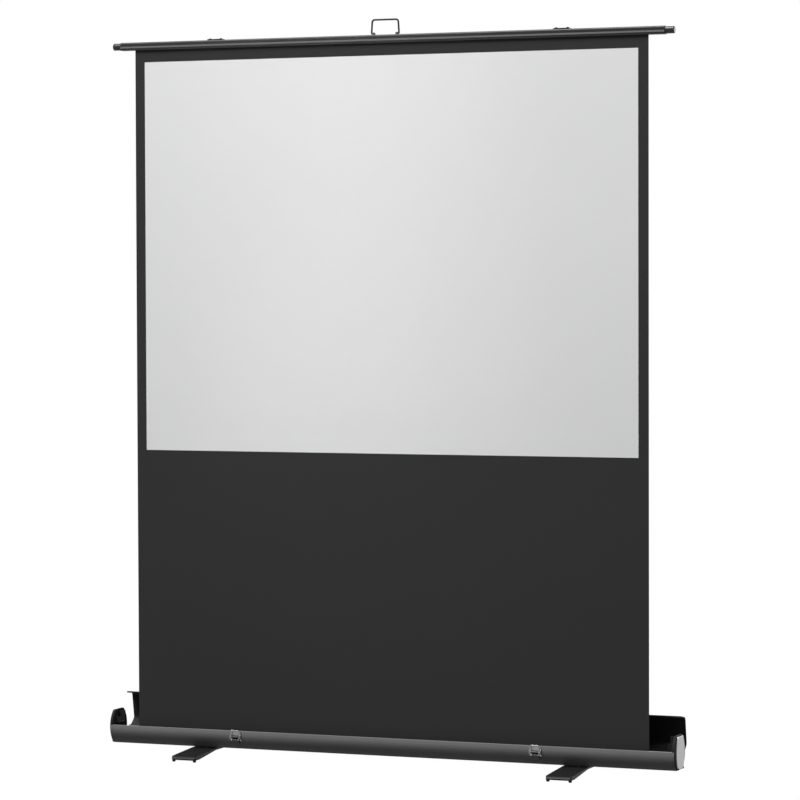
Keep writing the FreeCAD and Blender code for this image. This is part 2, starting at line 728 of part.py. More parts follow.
def make_top_pin(name, side, layer):
    """Shouldered pin from a saddle backward through one upper arm."""
    journal = S.arm_thick + 2 * S.side_play
    spacer = layer - S.arm_thick / 2 - S.side_play - bar_rear - S.saddle_thick
    steps = [
        (S.pin_radius, S.saddle_thick),
        (S.spacer_radius, spacer),
        (S.pin_radius, journal),
        (S.pin_head, S.pin_head_height),
    ]
    keep(turned(f"{name}_top_pin", steps, "Y", side * S.pivot_x, bar_rear, bar_axis_z))


def make_arm(label, x, layer, z, leans_right, start_bore, end_bore):
    """Flat arm with rounded ends and long grooves, from its lower pivot up to its upper pivot."""
    body = new_body(label)
    half, length = S.arm_width / 2, S.arm_length
    profile = outline(
        sketch(body, "XZ"),
        (0, -half, half, TURN_LEFT),
        (length, -half),
        (length + half, 0, half, TURN_LEFT),
        (length, half, half, TURN_LEFT),
        (0, half),
        (-half, 0, half, TURN_LEFT),
    )
    pad(body, profile, S.arm_thick)
    holes = circle(sketch(body, "XZ"), 0, 0, start_bore)
    pocket(body, circle(holes, length, 0, end_bore), 2 * S.arm_thick)
    for face in (S.arm_thick / 2, -S.arm_thick / 2):
        groove = sketch(body, "XZ", face)
        box_outline(groove, S.groove_end, -S.groove_width / 2, length - S.groove_end, S.groove_width / 2)
        pocket(body, groove, 2 * S.groove_deep)
    tilt = (half_rise / elbow_run).atan()
    turn = Size(f"(0 deg - {tilt.text})" if leans_right else f"({tilt.text} - 180 deg)", 0)
    keep(place(body, x, layer, z, (0, 1, 0), turn))


def make_elbow_pin(name, side):
    """Rivet through both arms at an elbow, with a washer between them."""
    journal = 2 * S.arm_thick + S.arm_gap + 2 * S.side_play
    steps = [(S.pin_head, S.pin_head_height), (S.pin_radius, journal), (S.pin_head, S.pin_head_height)]
    head_y = S.arm_back - S.side_play - S.pin_head_height
    x = side * (elbow_run - S.pivot_x)
    rivet = turned("elbow_rivet", steps, "Y", x, head_y, elbow_z)
    washer_y = S.arm_back + S.arm_thick + S.side_play
    bore, thick = S.pin_radius + S.running_gap, S.arm_gap - 2 * S.side_play
    washer = ring("elbow_washer", bore, S.pin_head, thick, "Y", x, washer_y, elbow_z)
    keep(group(f"{name}_elbow_pin", [rivet, washer]))


def make_bar():
    body = new_body("top_bar")
    length = inner_length - 2 * S.bar_plug_length
    section = outline(
        sketch(body, "YZ"),
        (bar_front, bar_bottom),
        (bar_front, S.bar_top - S.bar_round),
        (bar_front + S.bar_round, S.bar_top, S.bar_round, TURN_RIGHT),
        (bar_rear - S.bar_round, S.bar_top),
        (bar_rear, S.bar_top - S.bar_round, S.bar_round, TURN_RIGHT),
        (bar_rear, bar_bottom),
    )
    pad(body, section, length)
    groove_low = bar_bottom + S.bar_groove_up
    groove = box_outline(
        sketch(body, "YZ"),
        bar_front - S.bar_groove_deep,
        groove_low,
        bar_front + S.bar_groove_deep,
        groove_low + S.bar_groove_height,
    )
    pocket(body, groove, length)
    half = S.slot_width / 2
    slot = box_outline(sketch(body, "YZ"), keder_y - half, bar_bottom - S.wall, keder_y + half, keder_z)
    pocket(body, slot, length)
    pocket(body, circle(sketch(body, "YZ"), keder_y, keder_z, S.keder_radius + S.keder_play), length)
    keep(body)
    plugs = []
    for name, side in SIDES:
        plug = new_body(f"{name}_bar_plug")
        middle = side * (inner_length / 2 - S.bar_plug_length / 2)
        pad(plug, circle(sketch(plug, "YZ", middle), bar_axis_y, bar_axis_z, S.bar_plug_radius), S.bar_plug_length)
        round_edges(plug, S.bar_plug_round, in_plane_x(side * (inner_length / 2).value))
        keep(plug)
        plugs.append(plug)


def make_cloth():
    """Sheet from the roller to the bar, its light coat, and the rod that locks it in the bar."""
    cloth = new_body("screen_sheet")
    top = keder_z - S.keder_radius
    half = cloth_width / 2
    area = box_outline(sketch(cloth, "XZ", -keder_y), -half, roller_z, half, top)
    pad(cloth, area, S.cloth_thick)
    coat = new_body("picture_surface")
    half = S.picture_width / 2
    high = S.picture_bottom + S.picture_height
    coat_y = cloth_y - S.coat_thick / 2
    area = box_outline(sketch(coat, "XZ", -coat_y), -half, S.picture_bottom, half, high)
    pad(coat, area, S.coat_thick)
    rod = turned("keder_rod", [(S.keder_radius, cloth_width)], "X", -cloth_width / 2, keder_y, keder_z)
    for body in (cloth, coat, rod):
        keep(body)


def make_saddle(name, side):
    """Saddle over the bar whose rear plate carries the top pin of one upper arm."""
    body = new_body(f"{name}_saddle")
    top, back = S.bar_top + S.saddle_thick, bar_rear + S.saddle_thick
    ahead = bar_front + S.bar_round
    section = outline(
        sketch(body, "YZ", side * S.pivot_x),
        (ahead, S.bar_top),
        (bar_rear - S.bar_round, S.bar_top),
        (bar_rear, S.bar_top - S.bar_round, S.bar_round, TURN_RIGHT),
        (bar_rear, bar_bottom),
        (back, bar_bottom),
        (back, top - S.bar_round),
        (back - S.bar_round, top, S.bar_round, TURN_LEFT),
        (ahead, top),
    )
    pad(body, section, S.saddle_width)
    hole = circle(sketch(body, "XZ", -back), side * S.pivot_x, bar_axis_z, S.pin_radius)
    pocket(body, hole, 3 * S.saddle_thick)
    screw_holes = sketch(body, "XY", top)
    for x in (S.pivot_x - S.saddle_screw_x, S.pivot_x + S.saddle_screw_x):
        circle(screw_holes, side * x, bar_axis_y, S.screw_radius)
    pocket(body, screw_holes, 2 * S.saddle_thick)
    keep(body)


def make_saddle_screws():
    steps = [(S.screw_radius, S.saddle_thick), (S.saddle_screw_head, S.saddle_screw_height)]
    screws = []
    for _, side in SIDES:
        for x in (S.pivot_x - S.saddle_screw_x, S.pivot_x + S.saddle_screw_x):
            screws.append(turned("saddle_screw", steps, "Z", side * x, bar_axis_y, S.bar_top))
    keep(group("saddle_screws", screws))


def make_pull_handle():
    """Wire bail that folds in two lugs on the bar."""
    hinge_up = S.bar_top + S.handle_up
    half = S.lug_width / 2
    crown = S.lug_crown
    lugs = []
    for _, side in SIDES:
        lug = new_body("handle_lug")
        profile = outline(
            sketch(lug, "YZ", side * S.lug_x),
            (bar_axis_y - half, S.bar_top),
            (bar_axis_y + half, S.bar_top),
            (bar_axis_y + crown, hinge_up),
            (bar_axis_y, hinge_up + crown, crown, TURN_LEFT),
            (bar_axis_y - crown, hinge_up, crown, TURN_LEFT),
        )
        pad(lug, profile, S.lug_thick)
        bore = S.handle_wire + S.running_gap
        pocket(lug, circle(sketch(lug, "YZ", side * S.lug_x), bar_axis_y, hinge_up, bore), 2 * S.lug_thick)
        lugs.append(lug)
    keep(group("handle_lugs", lugs))
    end, foot, top = S.lug_x - S.lug_thick, S.handle_foot_x, S.handle_top_x
    high = S.bar_top + S.handle_height
    route = [
        ((-end, bar_axis_y, hinge_up), 0),
        ((-foot, bar_axis_y, hinge_up), S.handle_foot_bend),
        ((-top, bar_axis_y, high), S.handle_bend),
        ((top, bar_axis_y, high), S.handle_bend),
        ((foot, bar_axis_y, hinge_up), S.handle_foot_bend),
        ((end, bar_axis_y, hinge_up), 0),
    ]
    keep(bent_wire("pull_handle", route, S.handle_wire))


lid_tip = (S.hinge_back - S.lid_tip_ahead, hinge_z + S.lid_tip_up)
lid_corner = (S.hinge_back + S.lid_corner_back, hinge_z + S.lid_corner_up)
lid_kink = (S.hinge_back + S.lid_kink_back, hinge_z + S.lid_kink_up)
lid_low = (S.hinge_back + S.lid_low_back, hinge_z - S.lid_low_down)
lid_root = (S.hinge_back + S.lid_root_back, hinge_z - S.lid_thick / 2)


def make_lid():
    """Lid as it stands open behind the screen: bent wall with a bead along its free edge."""
    body = new_body("lid_shell")
    thick = S.lid_thick
    inner_corner = (lid_corner[0] - thick, lid_corner[1] - thick)
    inner_kink = (lid_kink[0] - thick, lid_kink[1] + thick / 2)
    inner_low = (lid_low[0] - thick / 4, lid_low[1] + thick)
    bead_z = lid_tip[1] - S.lid_bead
    section = outline(
        sketch(body, "YZ"),
        lid_tip,
        lid_corner,
        lid_kink,
        lid_low,
        lid_root,
        (lid_root[0], lid_root[1] + thick),
        inner_low,
        inner_kink,
        inner_corner,
        (lid_tip[0] + thick, lid_tip[1] - thick),
        (lid_tip[0] + thick, bead_z),
        (lid_tip[0], bead_z),
    )
    pad(body, section, inner_length)
    round_edges(body, S.lid_round + thick, along_x_at(lid_corner, lid_kink, lid_low))
    round_edges(body, S.lid_round, along_x_at(inner_corner, inner_kink, inner_low))
    keep(body)


def make_hinges():
    """Three butt hinges: leaves on the rear wall, leaves on the lid root, and their pins."""
    side_x = (S.knuckle_width + S.side_knuckle_width) / 2 + S.knuckle_gap
    span = S.knuckle_width + 2 * (S.side_knuckle_width + S.knuckle_gap)
    outside = side_radius + S.leaf_thick
    base_leaves, lid_leaves, pins = [], [], []
    for x in (-hinge_x, Size.of(0), hinge_x):
        leaf = new_body("base_leaf")
        low = S.case_lift + S.block_low
        pad(leaf, rear_strip(sketch(leaf, "YZ", x), low, rear_z, side_radius, outside), S.leaf_width)
        neck = rear_strip(sketch(leaf, "YZ", x), rear_z - S.leaf_thick, hinge_z, side_radius, outside)
        pad(leaf, neck, S.knuckle_width)
        knuckle = circle(sketch(leaf, "YZ", x), S.hinge_back, hinge_z, S.knuckle_radius)
        pad(leaf, knuckle, S.knuckle_width)
        bore = circle(sketch(leaf, "YZ", x), S.hinge_back, hinge_z, S.hinge_pin_radius)
        pocket(leaf, bore, S.leaf_width)
        base_leaves.append(leaf)
        wing = new_body("lid_leaf")
        low, high = lid_root[1] + S.lid_thick, lid_root[1] + S.lid_thick + S.leaf_thick
        clear = S.hinge_back + S.knuckle_radius + S.fit_gap
        pad(wing, box_outline(sketch(wing, "YZ", x), clear, low, S.hinge_back + S.leaf_reach, high), S.leaf_width)
        for shift in (-side_x, side_x):
            tab = box_outline(sketch(wing, "YZ", x + shift), S.hinge_back, low, clear + S.leaf_thick, high)
            pad(wing, tab, S.side_knuckle_width)
            knuckle = circle(sketch(wing, "YZ", x + shift), S.hinge_back, hinge_z, S.knuckle_radius)
            pad(wing, knuckle, S.side_knuckle_width)
        play = S.hinge_pin_radius + S.running_gap
        pocket(wing, circle(sketch(wing, "YZ", x), S.hinge_back, hinge_z, play), span + S.leaf_width)
        lid_leaves.append(wing)
        pins.append(turned("hinge_pin", [(S.hinge_pin_radius, span)], "X", x - span / 2, S.hinge_back, hinge_z))
    keep(group("base_hinge_leaves", base_leaves))
    keep(group("lid_hinge_leaves", lid_leaves))
    keep(group("hinge_pins", pins))


latch_pin_y = -S.case_depth / 2 - S.latch_pin_out
latch_pin_z = S.case_lift + S.latch_pin_lift


def make_latch(name, side):
    """Draw latch on the case front: plate with ears, lever on a pin, wire loop on the lever."""
    x = side * latch_x
    plate = new_body(f"{name}_latch_plate")
    low, high = S.case_lift + S.latch_low, S.case_lift + S.latch_high
    face = side_radius + S.latch_plate_thick
    pad(plate, front_strip(sketch(plate, "YZ", x), low, high, side_radius, face), S.latch_width)
    ear_low, ear_high = latch_pin_z - S.ear_half_height, latch_pin_z + S.ear_half_height
    tip_y = latch_pin_y - S.ear_tip
    for shift in (-1, 1):
        ear = outline(
            sketch(plate, "YZ", x + shift * (S.latch_width - S.ear_thick) / 2),
            (front_y(ear_low, side_radius), ear_low, side_radius, TURN_LEFT),
            (tip_y, latch_pin_z - S.ear_tip),
            (tip_y, latch_pin_z + S.ear_tip),
            (front_y(ear_high, side_radius), ear_high),
        )
        pad(plate, ear, S.ear_thick)
    pocket(plate, circle(sketch(plate, "YZ", x), latch_pin_y, latch_pin_z, S.latch_pin_radius), 2 * S.latch_width)
    keep(plate)
    lever = new_body(f"{name}_latch_lever")
    inside = side_radius + S.lever_clear
    outside = inside + S.lever_thick
    end_z = S.case_lift + S.lever_low
    pad(lever, front_strip(sketch(lever, "YZ", x), end_z, latch_pin_z, inside, outside), S.lever_width)
    edge, bend, spare = S.lever_width / 2, S.lever_round, S.lever_thick
    corners = outline(
        sketch(lever, "XZ"),
        (x + edge, end_z + bend),
        (x + edge - bend, end_z, bend, TURN_RIGHT),
        (x + edge - bend, end_z - spare),
        (x + edge + spare, end_z - spare),
        (x + edge + spare, end_z + bend),
    )
    outline(
        corners,
        (x - edge + bend, end_z),
        (x - edge, end_z + bend, bend, TURN_RIGHT),
        (x - edge - spare, end_z + bend),
        (x - edge - spare, end_z - spare),
        (x - edge + bend, end_z - spare),
    )
    pocket(lever, corners, 2 * S.case_depth)
    pad(lever, circle(sketch(lever, "YZ", x), latch_pin_y, latch_pin_z, S.hub_radius), S.lever_width)
    loop_y, loop_z = latch_pin_y - S.loop_ahead, latch_pin_z - S.loop_down
    web = box_outline(
        sketch(lever, "YZ", x),
        loop_y,
        loop_z - S.sleeve_radius,
        front_y(loop_z, inside) - S.lever_thick / 2,
        loop_z + S.sleeve_radius,
    )
    pad(lever, web, S.sleeve_width)
    pad(lever, circle(sketch(lever, "YZ", x), loop_y, loop_z, S.sleeve_radius), S.sleeve_width)
    bores = circle(sketch(lever, "YZ", x), latch_pin_y, latch_pin_z, S.latch_pin_radius + S.running_gap)
    pocket(lever, bores, S.latch_width)
    bores = circle(sketch(lever, "YZ", x), loop_y, loop_z, S.loop_wire + S.running_gap)
    pocket(lever, bores, S.latch_width)
    keep(lever)
    half = S.loop_half_width
    route = [
        ((x - half, loop_y, loop_z), S.loop_bend),
        ((x + half, loop_y, loop_z), S.loop_bend),
        ((x + half, loop_y, loop_z + S.loop_height), S.loop_bend),
        ((x - half, loop_y, loop_z + S.loop_height), S.loop_bend),
    ]
    keep(bent_wire(f"{name}_latch_loop", route, S.loop_wire, closed=True))


def make_latch_pins():
    start = latch_x - S.latch_width / 2
    steps = [(S.latch_pin_radius, S.latch_width)]
    pins = [
        turned("latch_pin", steps, "-X", -start, latch_pin_y, latch_pin_z),
        turned("latch_pin", steps, "X", start, latch_pin_y, latch_pin_z),
    ]
    keep(group("latch_pins", pins))


def make_keepers():
    """Hooked plates on the lid edge that the draw loops catch when the case is shut."""
    fall = (S.lid_tip_up - S.lid_corner_up) / (S.lid_corner_back + S.lid_tip_ahead)
    near, far = S.keeper_back, S.keeper_back + S.keeper_reach

    def on_lid(back, up):
        return (lid_tip[0] + back, lid_tip[1] - fall * back + up)

    keepers = []
    for _, side in SIDES:
        keeper = new_body("keeper")
        section = outline(
            sketch(keeper, "YZ", side * latch_x),
            on_lid(near, 0),
            on_lid(far, 0),
            on_lid(far, S.keeper_thick),
            on_lid(near + S.keeper_thick, S.keeper_thick),
            on_lid(near + S.keeper_thick, S.keeper_lip),
            on_lid(near, S.keeper_lip),
        )
        pad(keeper, section, S.keeper_width)
        keepers.append(keeper)
    keep(group("lid_keepers", keepers))


def make_carry_handle():
    """Folding carry handle on the lid's broad wall, drawn flat and leaned with that wall."""
    lean = ((lid_kink[0] - lid_corner[0]) / (lid_corner[1] - lid_kink[1])).atan()
    seat = ((lid_corner[0] + lid_kink[0]) / 2, (lid_corner[1] + lid_kink[1]) / 2)

    def on_wall(thing):
        return place(thing, 0, seat[0], seat[1], (1, 0, 0), lean)

    brackets = []
    for _, side in SIDES:
        bracket = new_body("carry_bracket")
        x, half = side * S.carry_x, S.carry_plate_height / 2
        pad(bracket, box_outline(sketch(bracket, "YZ", x), 0, -half, S.carry_plate_thick, half), S.carry_plate_width)
        boss = S.carry_boss_radius
        pad(bracket, box_outline(sketch(bracket, "YZ", x), 0, -boss, S.carry_out, boss), S.carry_boss_width)
        pad(bracket, circle(sketch(bracket, "YZ", x), S.carry_out, 0, boss), S.carry_boss_width)
        bore = S.carry_wire + S.running_gap
        pocket(bracket, circle(sketch(bracket, "YZ", x), S.carry_out, 0, bore), 2 * S.carry_plate_width)
        brackets.append(on_wall(bracket))
    keep(group("carry_brackets", brackets))
    end, leg, out, drop = S.carry_x + S.carry_boss_width / 2, S.carry_leg_x, S.carry_out, -S.carry_drop
    route = [
        ((-end, out, 0), 0),
        ((-leg, out, 0), S.carry_bend),
        ((-leg, out, drop), S.carry_bend),
        ((leg, out, drop), S.carry_bend),
        ((leg, out, 0), S.carry_bend),
        ((end, out, 0), 0),
    ]
    keep(on_wall(bent_wire("carry_bail", route, S.carry_wire)))
    grip = new_body("carry_grip")
    half, end_radius, bore = S.grip_length / 2, S.grip_radius, S.carry_wire
    waist_dip = end_radius - S.grip_waist
    sweep_radius = (half * half + waist_dip * waist_dip) / (2 * waist_dip)
    spun = grip.newObject("PartDesign::Revolution", "grip_turned")
    spun.Profile = outline(
        sketch(grip, "XY"),
        (-half, bore),
        (-half, end_radius),
        (0, S.grip_waist, sweep_radius, TURN_LEFT),
        (half, end_radius, sweep_radius, TURN_LEFT),
        (half, bore),
    )
    spun.ReferenceAxis = (spun.Profile[0], ["H_Axis"])
    spun.Angle = 360
    # the grip is drawn about its own axis, so it moves out and down along the leaning wall
    slope = Size(f"cos({lean.text})", math.cos(math.radians(lean.value)))
    rise = Size(f"sin({lean.text})", math.sin(math.radians(lean.value)))
    grip_y = seat[0] + out * slope - drop * rise
    grip_z = seat[1] + out * rise + drop * slope
    keep(place(grip, 0, grip_y, grip_z, (1, 0, 0), lean))


def foot_solid(label, inset, rise):
    """Plan and side view of the foot, both drawn in by the inset, cut against each other."""
    half_x, half_y = S.foot_width / 2 - inset, S.foot_length / 2 - inset
    corner = S.foot_corner - inset
    plan = new_body(f"{label}_plan")
    straight_x, straight_y = half_x - corner, half_y - corner
    shape = outline(
        sketch(plan, "XY"),
        (straight_x, -half_y),
        (half_x, -straight_y, corner, TURN_LEFT),
        (half_x, straight_y),
        (straight_x, half_y, corner, TURN_LEFT),
        (-straight_x, half_y),
        (-half_x, straight_y, corner, TURN_LEFT),
        (-half_x, -straight_y),
        (-straight_x, -half_y, corner, TURN_LEFT),
    )
    pad(plan, shape, 4 * S.foot_top)
    profile = new_body(f"{label}_profile")
    nose = half_y - S.foot_tip_run
    top, tip_top, nose_z = S.foot_top - inset, S.foot_tip_top - inset, S.foot_tip_nose - inset
    skirt, arch, level = S.foot_skirt - rise, S.foot_arch - rise, half_y - S.foot_skirt_run
    radius = S.foot_nose_radius
    shape = outline(
        sketch(profile, "YZ"),
        (-half_y, skirt),
        (-half_y, nose_z),
        (-nose, tip_top, radius, TURN_RIGHT),
        (-S.foot_hub, top),
        (S.foot_hub, top),
        (nose, tip_top),
        (half_y, nose_z, radius, TURN_RIGHT),
        (half_y, skirt),
        (level, skirt),
        (S.foot_hub, arch),
        (-S.foot_hub, arch),
        (-level, skirt),
    )
    pad(profile, shape, S.foot_width)
    common = doc.addObject("Part::MultiCommon", label)
    common.Shapes = [plan, profile]
    return common


def make_foot(name, side):
    """Arched channel foot with a pivot hole, and its four pads."""
    outer = foot_solid(f"{name}_foot_outer", Size.of(0), Size.of(0))
    inner = foot_solid(f"{name}_foot_inner", S.foot_wall, S.foot_top)
    hole = doc.addObject("Part::Cylinder", f"{name}_foot_hole")
    bind(hole, "Radius", S.bolt_radius + S.running_gap)
    bind(hole, "Height", 2 * S.foot_top)
    hollow = doc.addObject("Part::MultiFuse", f"{name}_foot_hollow")
    hollow.Shapes = [inner, hole]
    foot = doc.addObject("Part::Cut", f"{name}_foot")
    foot.Base, foot.Tool = outer, hollow
    foot.Label = f"{name}_foot"
    keep(place(foot, side * foot_x, 0, 0))
    reach = S.foot_length / 2 - S.pad_inset
    rim = S.pad_radius / 8
    steps = [(S.pad_radius - rim, rim), (S.pad_radius, S.foot_skirt - rim)]
    pads = []
    for x in (-S.pad_spread, S.pad_spread):
        for y in (-reach, reach):
            pads.append(turned("foot_pad", steps, "Z", side * foot_x + x, y, 0))
    keep(group(f"{name}_foot_pads", pads))


def make_foot_bolts():
    nut_low = S.foot_top - S.foot_wall - S.side_play - S.nut_height
    shank = floor_z - nut_low - S.nut_height
    steps = [(S.nut_radius, S.nut_height), (S.bolt_radius, shank), (S.bolt_head, S.bolt_head_height)]
    washer_low = S.foot_top + S.washer_play
    washer_thick = S.case_lift - washer_low
    bolts, washers = [], []
    for _, side in SIDES:
        x = side * foot_x
        bolts.append(turned("foot_bolt", steps, "Z", x, 0, nut_low))
        washers.append(ring("foot_washer", S.bolt_radius, S.washer_radius, washer_thick, "Z", x, 0, washer_low))
    keep(group("foot_bolts", bolts))
    keep(group("foot_washers", washers))


def make_arms():
    """Two crossing pairs: pivots on one side of the case, elbows on the other."""
    elbow_x = elbow_run - S.pivot_x
    turning, riveted = S.pin_radius + S.running_gap, S.pin_radius
    loose = S.pin_radius + S.open_play
    make_arm("right_lower_arm", -S.pivot_x, front_layer, base_pivot_z, True, turning, riveted)
    make_arm("right_upper_arm", elbow_x, rear_layer, elbow_z, False, turning, turning)
    make_arm("left_lower_arm", S.pivot_x, rear_layer, base_pivot_z, False, turning, riveted)
    make_arm("left_upper_arm", -elbow_x, front_layer, elbow_z, True, turning, loose)


def build():
    make_base_shell()
    make_end_screws()
    make_roller()
    make_arms()
    make_bar()
    make_cloth()
    make_saddle_screws()
    make_pull_handle()
    make_lid()
    make_hinges()
    make_latch_pins()
    make_keepers()
    make_carry_handle()
    make_foot_bolts()
    layers = {"left": (front_layer, rear_layer), "right": (rear_layer, front_layer)}
    bores = {"left": S.idle_pin_radius + S.running_gap, "right": S.arbor_radius}
    for name, side in SIDES:
        make_end(name, side)
        make_roller_bracket(name, side, bores[name])
        make_pivot_block(name, side)
        make_base_pin(name, side, layers[name][0])
        make_top_pin(name, side, layers[name][1])
        make_elbow_pin(name, side)
        make_saddle(name, side)
        make_latch(name, side)
        make_foot(name, side)
    doc.recompute()


def check():
    """Stop before anything is written if an object failed or a sub-part has no sound shape."""
    for thing in doc.Objects:
        if {"Invalid", "Error"} & set(thing.State):
            raise RuntimeError(f"{thing.Label} failed: {thing.State}")
    for node in NODES:
        if node.Shape.isNull() or not node.Shape.isValid() or not node.Shape.Solids:
            raise RuntimeError(f"{node.Label} has no sound shape")


def write():
    os.makedirs("parts", exist_ok=True)
    for node in NODES:
        node.Shape.exportStep(f"parts/{node.Label}.step")
    print(len(NODES), "sub-parts")


build()
check()
write()
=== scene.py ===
# %% [markdown]
# # A pull-up projection screen
# The solids come in as a fixed frame with their joints. This lesson adds what solids cannot say: the cloth,
# the finishes and the small pressed and moulded details. Everything is in metres, X along the case, Y to
# the back and Z up, with the floor at zero.

# %% Load the frame
import json
import math

import bmesh
import bpy
from mathutils import Matrix, Vector


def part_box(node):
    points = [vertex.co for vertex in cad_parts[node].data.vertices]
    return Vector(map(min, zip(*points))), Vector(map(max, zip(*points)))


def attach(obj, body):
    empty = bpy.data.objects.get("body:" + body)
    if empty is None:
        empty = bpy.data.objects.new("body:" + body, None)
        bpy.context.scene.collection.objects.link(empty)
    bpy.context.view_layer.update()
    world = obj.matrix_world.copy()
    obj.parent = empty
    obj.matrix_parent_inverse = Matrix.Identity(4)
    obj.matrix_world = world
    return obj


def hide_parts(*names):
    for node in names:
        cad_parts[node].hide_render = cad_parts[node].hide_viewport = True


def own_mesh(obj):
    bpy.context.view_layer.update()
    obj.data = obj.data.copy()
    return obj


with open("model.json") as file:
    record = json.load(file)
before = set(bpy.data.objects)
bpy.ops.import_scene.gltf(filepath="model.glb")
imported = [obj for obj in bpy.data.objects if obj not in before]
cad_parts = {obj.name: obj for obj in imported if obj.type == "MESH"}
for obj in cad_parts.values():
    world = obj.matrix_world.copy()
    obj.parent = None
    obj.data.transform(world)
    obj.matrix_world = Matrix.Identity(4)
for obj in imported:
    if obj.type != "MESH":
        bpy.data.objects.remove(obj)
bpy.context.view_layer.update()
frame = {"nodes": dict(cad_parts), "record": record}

NODES = frame["nodes"]

# %% [markdown]
# ## The camera
# The screen is seen from the front right through a long lens, about level with the middle of the picture
# area. A camera can be aimed with a constraint, but a matrix built from its heading, tilt and roll is exact
# and leaves nothing live in the file.

# %% Camera
FRAME_PIXELS, FOCAL_PIXELS, SENSOR_MM = 800, 3440, 36.0
YAW, PITCH, ROLL = (math.radians(a) for a in (21.786, 1.9445, -0.1855))
CAMERA_PLACE = Vector((3.892, -9.6424, 1.4586))
FAR_LIMIT = 100


def camera_matrix():
    """Place and axes of a camera from its heading, tilt and roll."""
    right = Vector((math.cos(YAW), math.sin(YAW), 0))
    ahead = Vector((-math.sin(YAW) * math.cos(PITCH), math.cos(YAW) * math.cos(PITCH), -math.sin(PITCH)))
    up = right.cross(ahead)
    rolled_right = right * math.cos(ROLL) + up * math.sin(ROLL)
    rolled_up = up * math.cos(ROLL) - right * math.sin(ROLL)
    axes = Matrix((rolled_right, rolled_up, -ahead)).transposed()
    return Matrix.Translation(CAMERA_PLACE) @ axes.to_4x4()


lens = bpy.data.cameras.new("photo_lens")
lens.sensor_width = SENSOR_MM
lens.lens = FOCAL_PIXELS / FRAME_PIXELS * SENSOR_MM
lens.clip_end = FAR_LIMIT
camera = bpy.data.objects.new("photo_camera", lens)
camera.matrix_world = camera_matrix()
bpy.context.collection.objects.link(camera)
bpy.context.scene.camera = camera
print("lens", round(lens.lens, 1), "mm")

# %% [markdown]
# ## Writing shaders as expressions
# A material is a graph of nodes. Linking each by hand hides the idea, so a small class wraps a socket and
# lets ordinary arithmetic add the Math nodes. Every other node comes from one method that takes its type,
# its settings and the values of its sockets.

# %% Socket arithmetic
class Wire:
    """A shader socket that takes part in Python arithmetic."""

    def __init__(self, graph, socket):
        self.graph = graph
        self.socket = socket

    def _math(self, operation, *values):
        return self.graph.node("ShaderNodeMath", {"operation": operation}, dict(enumerate(values)))

    def __add__(self, other):
        return self._math("ADD", self, other)

    def __sub__(self, other):
        return self._math("SUBTRACT", self, other)

    def __rsub__(self, other):
        return self._math("SUBTRACT", other, self)

    def __mul__(self, other):
        return self._math("MULTIPLY", self, other)

    def __gt__(self, other):
        return self._math("GREATER_THAN", self, other)

    def __lt__(self, other):
        return self._math("LESS_THAN", self, other)

    def __abs__(self):
        return self._math("ABSOLUTE", self)

    __radd__ = __add__
    __rmul__ = __mul__

    def larger(self, other):
        return self._math("MAXIMUM", self, other)

    def sine(self):
        return self._math("SINE", self)

    def between(self, low, high):
        """1 inside the band, 0 outside."""
        return (self > low) * (self < high)


print("sockets can be added, multiplied and compared")

# %% [markdown]
# A graph belongs to a material or to the surround. A finish is a material's graph with the few nodes that
# most surfaces need.

# %% Graphs and finishes
class Graph:
    """The nodes of a material or of the surround."""

    def __init__(self, owner):
        owner.use_nodes = True
        self.tree = owner.node_tree

    def feed(self, node, values):
        """Set or link the sockets of a node, by their names or numbers."""
        for key, value in values.items():
            if isinstance(value, Wire):
                self.tree.links.new(value.socket, node.inputs[key])
            else:
                node.inputs[key].default_value = value

    def node(self, kind, settings, values, out=0):
        """A new node with its settings and sockets, as the wire from one of its outputs."""
        made = self.tree.nodes.new(kind)
        for key, value in settings.items():
            setattr(made, key, value)
        self.feed(made, values)
        return Wire(self, made.outputs[out])


class Finish(Graph):
    """A procedural material under construction."""

    def __init__(self, name):
        self.material = bpy.data.materials.new(name)
        super().__init__(self.material)
        self.shader = self.tree.nodes["Principled BSDF"]
        self.place, self.uv, self.facing = (
            self.node("ShaderNodeTexCoord", {}, {}, kind) for kind in ("Object", "UV", "Normal")
        )

    def set(self, **values):
        """Sockets of the surface shader, with _ for the space in their names."""
        self.feed(self.shader, {key.replace("_", " "): value for key, value in values.items()})
        return self

    def noise(self, scale, detail, stretch=(1, 1, 1)):
        """Soft noise from 0 to 1, stretched along an axis if asked."""
        spot = self.node("ShaderNodeMapping", {}, {"Vector": self.place, "Scale": stretch})
        values = {"Vector": spot, "Scale": scale, "Detail": detail}
        return self.node("ShaderNodeTexNoise", {}, values, "Fac")

    def axis(self, letter, where=None):
        """One coordinate of the place on the object, or of another vector."""
        return self.node("ShaderNodeSeparateXYZ", {}, {"Vector": where or self.place}, letter)

    def mix(self, factor, dark, light):
        """Between two colours by a factor."""
        return self.node("ShaderNodeMix", {"data_type": "RGBA"}, {0: factor, 6: dark, 7: light}, 2)

    def bump(self, height, strength, distance):
        values = {"Height": height, "Strength": strength, "Distance": distance}
        return self.set(Normal=self.node("ShaderNodeBump", {}, values))


def grey(value, warmth=0.0):
    return (value * (1 + warmth), value, value * (1 - warmth), 1.0)


FINISHES = {}
print("helpers:", [kind.__name__ for kind in (Wire, Graph, Finish)])

# %% [markdown]
# ## Drawn and anodised metal
# The case, lid and bar are extrusions with a dark satin skin. Their surface carries fine lines along the
# drawing direction, faint cloudiness from the bath and small rubbed places. Stretched noise gives the
# lines. It feeds the roughness and a very shallow bump, and the colour only a little.

# %% Anodised skin
DRAWN_ALONG_X = (1.2, 160, 160)
RUBBED_ABOVE = 0.74
LINING_DULLNESS = 0.25


